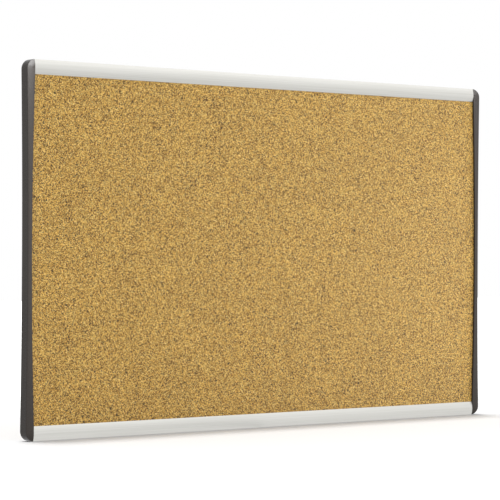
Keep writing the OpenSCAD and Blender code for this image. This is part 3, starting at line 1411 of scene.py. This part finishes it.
@dataclass
class Hanger:
    """One sliding hanger: a shoe in the rail's channel and a keyhole plate screwed to it."""

    side: Side
    finishes: Finishes
    neck: float = 4.4 * MM
    shoe_t: float = 3.0 * MM
    shoe_r: float = 0.4 * MM
    plate_r: float = 3.0 * MM
    entry_r: float = 5.0 * MM
    key_half: float = 2.5 * MM
    entry_up: float = 10.0 * MM
    key_travel: float = 10.0 * MM
    hole_r: float = 1.55 * MM
    sink_r: float = 2.85 * MM
    pin_head_r: float = 2.8 * MM
    pin_head_h: float = 1.2 * MM
    pin_r: float = 1.5 * MM
    burr: float = 0.15 * MM
    hole_steps: int = 24
    corner_steps: int = 6
    slot_steps: int = 12
    entry_steps: int = 30

    def build(self) -> None:
        """Makes the three pieces and puts them in place of their CAD nodes."""
        body = f"{self.side.name.lower()}_hanger"
        install(self.shoe(body), body, "shoe_plastic", f"{body}_shoe")
        install(self.plate(body), body, "zinc_steel", f"{body}_plate")
        install(self.screws(body), body, "zinc_steel", f"{body}_screws")

    def shoe(self, body: str) -> bpy.types.Object:
        """Makes the shoe from its T-shaped section.

        Args:
            body: Name of the hanger.

        Returns:
            The piece.
        """
        low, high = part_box(f"{body}_shoe")
        mid = (low.z + high.z) / 2
        step = low.y + self.shoe_t
        mesh = bmesh.new()
        section = Outline(mesh, Vector((low.x, low.y, low.z)))
        section.run(
            Vector((low.x, low.y, high.z)),
            Vector((low.x, step, high.z)),
            Vector((low.x, step, mid + self.neck / 2)),
            Vector((low.x, high.y, mid + self.neck / 2)),
            Vector((low.x, high.y, mid - self.neck / 2)),
            Vector((low.x, step, mid - self.neck / 2)),
            Vector((low.x, step, low.z)),
        )
        push_out(mesh, [section.fill()], Vector((high.x - low.x, 0, 0)))
        bmesh.ops.recalc_face_normals(mesh, faces=mesh.faces[:])
        round_over(mesh, [e for e in mesh.edges if e.is_convex], self.shoe_r, 3)
        return finish_mesh(mesh, f"moulded_{body}_shoe", self.finishes.acetal)

    def pins(self, body: str) -> list[Vector]:
        """Places the hanger's two screws.

        Args:
            body: Name of the hanger.

        Returns:
            Where the tops of their heads are.
        """
        low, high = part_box(f"{body}_screws")
        up = (low.z + high.z) / 2
        return [Vector((x, high.y, up)) for x in (low.x + self.pin_head_r, high.x - self.pin_head_r)]

    def plate(self, body: str) -> bpy.types.Object:
        """Presses the plate, with its keyhole and two countersunk holes.

        Args:
            body: Name of the hanger.

        Returns:
            The piece.
        """
        low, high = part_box(f"{body}_plate")
        front = low.y + self.burr
        mesh = bmesh.new()
        edges = self.plate_edge(mesh, low, high, front) + self.keyhole(mesh, low, high, front)
        for pin in self.pins(body):
            turned = Matrix.Translation((pin.x, front, pin.z)) @ Matrix.Rotation(math.pi / 2, 4, "X")
            ring = bmesh.ops.create_circle(
                mesh, cap_ends=False, segments=self.hole_steps, radius=self.hole_r, matrix=turned
            )
            edges += dict.fromkeys(e for v in ring["verts"] for e in v.link_edges)
        bmesh.ops.triangle_fill(mesh, use_beauty=True, use_dissolve=False, edges=edges)
        rear = push_out(mesh, mesh.faces[:], Vector((0, high.y - low.y - 2 * self.burr, 0)))
        for pin in self.pins(body):
            ring = [v for v in rear if math.hypot(v.co.x - pin.x, v.co.z - pin.z) < self.sink_r]
            grow = self.sink_r / self.hole_r
            bmesh.ops.scale(mesh, verts=ring, vec=(grow, 1, grow), space=Matrix.Translation(-pin))
        bmesh.ops.recalc_face_normals(mesh, faces=mesh.faces[:])
        for way in (-1, 1):
            flat = [f for f in mesh.faces if f.normal.y * way > FACING]
            bmesh.ops.inset_region(
                mesh,
                faces=flat,
                thickness=self.burr,
                depth=self.burr,
                use_even_offset=True,
                use_boundary=True,
            )
        return finish_mesh(mesh, f"pressed_{body}_plate", self.finishes.zinc)

    def plate_edge(
        self, mesh: bmesh.types.BMesh, low: Vector, high: Vector, front: float
    ) -> list[bmesh.types.BMEdge]:
        """Draws the plate's outline with its round corners.

        Args:
            mesh: Mesh to draw it in.
            low: Lowest corner of the plate.
            high: Highest corner of the plate.
            front: Where the outline lies along Y.

        Returns:
            The edges of the outline.
        """
        about = Vector((0, 1, 0))
        r = self.plate_r
        right, left = high.x - r, low.x + r
        top, foot = high.z - r, low.z + r
        centres = [Vector((x, front, z)) for x, z in ((right, top), (right, foot), (left, foot), (left, top))]
        starts = [Vector((0, 0, r)), Vector((r, 0, 0)), Vector((0, 0, -r)), Vector((-r, 0, 0))]
        outline = Outline(mesh, centres[3] + starts[0])
        for centre, start in zip(centres[:3], starts):
            outline.run(centre + start)
            outline.arc(centre, about, math.pi / 2, self.corner_steps)
        outline.run(centres[3] + starts[3])
        return outline.arc_home(centres[3], about, math.pi / 2, self.corner_steps)

    def keyhole(
        self, mesh: bmesh.types.BMesh, low: Vector, high: Vector, front: float
    ) -> list[bmesh.types.BMEdge]:
        """Draws the keyhole: a round entry with a slot rising from it.

        Args:
            mesh: Mesh to draw it in.
            low: Lowest corner of the plate.
            high: Highest corner of the plate.
            front: Where the outline lies along Y.

        Returns:
            The edges of the keyhole.
        """
        about = Vector((0, 1, 0))
        entry = Vector(((low.x + high.x) / 2, front, low.z + self.entry_up))
        rest = entry + Vector((0, 0, self.key_travel))
        half_angle = math.asin(self.key_half / self.entry_r)
        side = Vector((self.key_half, 0, 0))
        neck = Vector((0, 0, self.entry_r * math.cos(half_angle)))
        outline = Outline(mesh, entry + neck + side)
        outline.run(rest + side)
        outline.arc(rest, about, -math.pi, self.slot_steps)
        outline.run(entry + neck - side)
        return outline.arc_home(entry, about, 2 * half_angle - 2 * math.pi, self.entry_steps)

    def screws(self, body: str) -> bpy.types.Object:
        """Makes the two countersunk screws.

        Args:
            body: Name of the hanger.

        Returns:
            The piece.
        """
        low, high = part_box(f"{body}_screws")
        screw = CrossScrew(
            head=Head.COUNTERSUNK,
            head_r=self.pin_head_r,
            head_h=self.pin_head_h,
            dome=0.0,
            shank_r=self.pin_r,
            length=high.y - low.y,
            recess_l=2.8 * MM,
            recess_w=0.7 * MM,
            recess_d=0.8 * MM,
        )
        return screw.set_at(self.pins(body), f"countersunk_{body}_screws", self.finishes.zinc)


@dataclass
class Bumper:
    """One push-in bumper: a round pad, a neck in the rail's slot and a head behind it."""

    side: Side
    gauge: Gauge
    finishes: Finishes
    neck_r: float = 2.4 * MM
    head_r: float = 4.2 * MM
    taper: float = 1.2 * MM
    edge_r: float = 0.8 * MM
    dome: float = 0.4 * MM
    dome_steps: int = 6
    edge_steps: int = 5
    steps: int = 48

    def build(self) -> None:
        """Turns the bumper and puts it in place of its CAD node."""
        name = f"{self.side.name.lower()}_bumper"
        low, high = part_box(name)
        middle = (low + high) / 2
        pad_r = (high.x - low.x) / 2
        back = self.gauge.back
        inside = back - self.gauge.wall

        def point(reach: float, along: float) -> Vector:
            """Returns a point of the profile at a distance from the axis."""
            return Vector((middle.x + reach, along, middle.z))

        mesh = bmesh.new()
        about = Vector((0, 0, 1))
        flat_r = pad_r - self.edge_r
        sphere_r = arc_radius(2 * flat_r, self.dome)
        shoulder = high.y - self.dome - self.edge_r
        profile = Outline(mesh, point(0, high.y))
        profile.arc(point(0, high.y - sphere_r), about, -math.asin(flat_r / sphere_r), self.dome_steps)
        profile.arc(point(flat_r, shoulder), about, -math.pi / 2, self.edge_steps)
        profile.run(
            point(pad_r, back),
            point(self.neck_r, back),
            point(self.neck_r, inside),
            point(self.head_r, inside),
            point(self.head_r, low.y + self.taper),
            point(self.head_r - self.taper, low.y),
            point(0, low.y),
        )
        profile.lathe(middle, self.steps)
        piece = finish_mesh(mesh, f"push_in_{name}", self.finishes.rubber)
        install(piece, "board", "rubber", name)


@dataclass(frozen=True)
class Softbox:
    """A rectangular lamp that faces the middle of the board."""

    name: str
    place: tuple[float, float, float]
    size: tuple[float, float]
    power: float

    def hang(self, target: Vector) -> bpy.types.Object:
        """Makes the lamp.

        Args:
            target: Point that it faces.

        Returns:
            The lamp, linked to the scene.
        """
        data = bpy.data.lights.new(self.name, "AREA")
        data.shape = "RECTANGLE"
        data.size, data.size_y = self.size
        data.energy = self.power
        lamp = bpy.data.objects.new(self.name, data)
        place = Vector(self.place)
        turned = (target - place).to_track_quat("-Z", "Y").to_matrix().to_4x4()
        lamp.matrix_world = Matrix.Translation(place) @ turned
        bpy.context.scene.collection.objects.link(lamp)
        return lamp


@dataclass
class Studio:
    """Camera, lights, floor and background. The camera stands where the photograph's did."""

    gauge: Gauge
    aim_x: float = -36.41 * MM
    aim_z: float = 1.23 * MM
    yaw: float = math.radians(39.52)
    roll: float = math.radians(0.22)
    distance: float = 2882.9 * MM
    lens: float = 161.05
    floor_half: float = 6.0
    ambient: float = 0.8
    far_glow: float = 0.8
    glow_from: float = 0.3
    glow_full: float = 0.8
    mirrored_floor: float = 0.87
    overhead_lean: float = math.radians(4.8)
    overhead_spread: float = math.radians(10.5)
    overhead_power: float = 3.1
    key: Softbox = Softbox("key_softbox", (1.45, -1.73, 2.26), (2.4, 2.4), 7.3)
    cork_light: Softbox = Softbox("cork_softbox", (1.2, -0.38, 0.0), (0.8, 0.42), 4.3)
    left_cap_light: Softbox = Softbox("left_cap_softbox", (-0.066, -0.45, 0.433), (0.315, 0.41), 8.5)
    right_cap_light: Softbox = Softbox("right_cap_softbox", (0.75, -0.834, 0.687), (0.71, 0.77), 12)
    cap_fill: Softbox = Softbox("cap_fill", (0.76, -0.95, -0.1), (1.3, 0.8), 3.4)

    def build(self, cork: bpy.types.Object, caps: list[bpy.types.Object]) -> None:
        """Sets up everything that isn't part of the board.

        Args:
            cork: The cork sheet, which gets lighter towards one end.
            caps: The end caps, whose fronts get a sheen from the top.
        """
        bpy.context.scene.view_settings.view_transform = "Standard"
        self.camera()
        self.world()
        middle = Vector((0, self.gauge.cap_front, 0))
        self.key.hang(middle)
        self.shine_on(self.cork_light.hang(middle), [cork])
        self.shine_on(self.left_cap_light.hang(middle), caps[:1])
        self.shine_on(self.right_cap_light.hang(middle), caps[1:])
        self.shine_on(self.cap_fill.hang(middle), caps)
        self.shine_on(self.overhead(), [self.floor()])

    def camera(self) -> None:
        """Makes the camera, level and to the left of the board."""
        ahead = Vector((math.sin(self.yaw), math.cos(self.yaw), 0))
        level = Vector((math.cos(self.yaw), -math.sin(self.yaw), 0))
        up = Vector((0, 0, 1))
        right = math.cos(self.roll) * level + math.sin(self.roll) * up
        above = math.cos(self.roll) * up - math.sin(self.roll) * level
        place = Vector((self.aim_x, self.gauge.cap_front, self.aim_z)) - self.distance * ahead
        data = bpy.data.cameras.new("camera")
        data.lens = self.lens
        data.clip_end = 100
        camera = bpy.data.objects.new("camera", data)
        turned = Matrix((right, above, -ahead)).transposed().to_4x4()
        camera.matrix_world = Matrix.Translation(place) @ turned
        bpy.context.scene.collection.objects.link(camera)
        bpy.context.scene.camera = camera

    def floor(self) -> bpy.types.Object:
        """Lays the pale floor that the board's lower edge stands on.

        Returns:
            The floor.
        """
        mesh = bmesh.new()
        place = Matrix.Translation((0, 0, -self.gauge.half_h))
        bmesh.ops.create_grid(mesh, x_segments=1, y_segments=1, size=self.floor_half, matrix=place)
        material, tree = new_material("white_floor")
        paper = add_node(tree, "ShaderNodeBsdfDiffuse", {"Color": linear("#cbcbcb")})
        fade = add_node(
            tree,
            "ShaderNodeMapRange",
            {
                "Value": self.from_foot(tree),
                "From Min": self.glow_from,
                "From Max": self.glow_full,
                "To Max": self.far_glow,
            },
        )
        seen = self.rays(tree, "Is Camera Ray")
        level = add_node(tree, "ShaderNodeMath", {0: seen, 1: result(fade)}, operation="MULTIPLY")
        glow = add_node(tree, "ShaderNodeEmission", {"Color": linear("#ffffff"), "Strength": result(level)})
        shown = add_node(tree, "ShaderNodeAddShader", {0: result(paper), 1: result(glow)})
        even = add_node(
            tree, "ShaderNodeEmission", {"Color": linear("#ffffff"), "Strength": self.mirrored_floor}
        )
        mirrored = self.rays(tree, "Is Glossy Ray", "Is Transmission Ray")
        both = add_node(tree, "ShaderNodeMixShader", {"Fac": mirrored, 1: result(shown), 2: result(even)})
        add_node(tree, "ShaderNodeOutputMaterial", {"Surface": result(both)})
        floor = finish_mesh(mesh, "floor", material)
        return floor

    def from_foot(self, tree: bpy.types.NodeTree) -> bpy.types.NodeSocket:
        """Adds the distance along the floor from the board's foot.

        Args:
            tree: Node tree of the floor.

        Returns:
            The socket that gives the distance.
        """
        place = add_node(tree, "ShaderNodeTexCoord").outputs["Object"]
        level = add_node(tree, "ShaderNodeVectorMath", {0: place, 1: (1, 1, 0)}, operation="MULTIPLY")
        apart = add_node(tree, "ShaderNodeVectorMath", {0: result(level)}, operation="ABSOLUTE")
        foot = (self.gauge.half_w, 0, 0)
        past = add_node(tree, "ShaderNodeVectorMath", {0: result(apart), 1: foot}, operation="SUBTRACT")
        outside = add_node(tree, "ShaderNodeVectorMath", {0: result(past), 1: (0, 0, 0)}, operation="MAXIMUM")
        length = add_node(tree, "ShaderNodeVectorMath", {0: result(outside)}, operation="LENGTH")
        return length.outputs["Value"]

    @staticmethod
    def rays(tree: bpy.types.NodeTree, *kinds: str) -> bpy.types.NodeSocket:
        """Adds a switch between kinds of ray.

        Args:
            tree: Node tree of the floor or the world.
            kinds: Names of the Light Path outputs that count.

        Returns:
            The socket that is 1 for those rays and 0 for any other.
        """
        path = add_node(tree, "ShaderNodeLightPath")
        switch = path.outputs[kinds[0]]
        for kind in kinds[1:]:
            either = add_node(tree, "ShaderNodeMath", {0: switch, 1: path.outputs[kind]}, operation="MAXIMUM")
            switch = result(either)
        return switch

    def world(self) -> None:
        """Makes the white background, which lights the board less than it shows."""
        world = bpy.data.worlds.new("white_studio")
        world.use_nodes = True
        tree = world.node_tree
        tree.nodes.clear()
        seen = self.rays(tree, "Is Camera Ray", "Is Glossy Ray", "Is Transmission Ray")
        level = add_node(
            tree, "ShaderNodeMath", {0: seen, 1: 1 - self.ambient, 2: self.ambient}, operation="MULTIPLY_ADD"
        )
        sky = add_node(
            tree, "ShaderNodeBackground", {"Color": linear("#ffffff"), "Strength": result(level)}
        )
        add_node(tree, "ShaderNodeOutputWorld", {"Surface": result(sky)})
        bpy.context.scene.world = world

    def overhead(self) -> bpy.types.Object:
        """Hangs a wide light far above, leaning forwards so that shade lies along the board's foot.

        Returns:
            The lamp, linked to the scene.
        """
        data = bpy.data.lights.new("overhead", "SUN")
        data.angle = self.overhead_spread
        data.energy = self.overhead_power
        lamp = bpy.data.objects.new("overhead", data)
        lamp.rotation_euler = (-self.overhead_lean, 0, 0)
        bpy.context.scene.collection.objects.link(lamp)
        return lamp

    @staticmethod
    def shine_on(lamp: bpy.types.Object, lit: list[bpy.types.Object]) -> None:
        """Keeps a lamp's light to some objects.

        Args:
            lamp: The lamp.
            lit: The only objects that it lights.
        """
        receivers = bpy.data.collections.new(f"lit_by_{lamp.name}")
        for piece in lit:
            receivers.objects.link(piece)
        lamp.light_linking.receiver_collection = receivers


def main() -> None:
    """Builds the studio and every sub-assembly in order."""
    logging.basicConfig(level=logging.INFO, format="%(name)s: %(message)s")
    gauge = Gauge.measure()
    finishes = Finishes.make()
    cork = PinPanel(gauge, finishes).build()
    for edge in Edge:
        Rail(edge, gauge, finishes).build()
    caps = [EndCap(side, gauge, finishes).build() for side in Side]
    Studio(gauge).build(cork, caps)
    CapScrews(finishes).build()
    for side in Side:
        Hanger(side, finishes).build()
        Bumper(side, gauge, finishes).build()


if __name__ == "__main__":
    main()
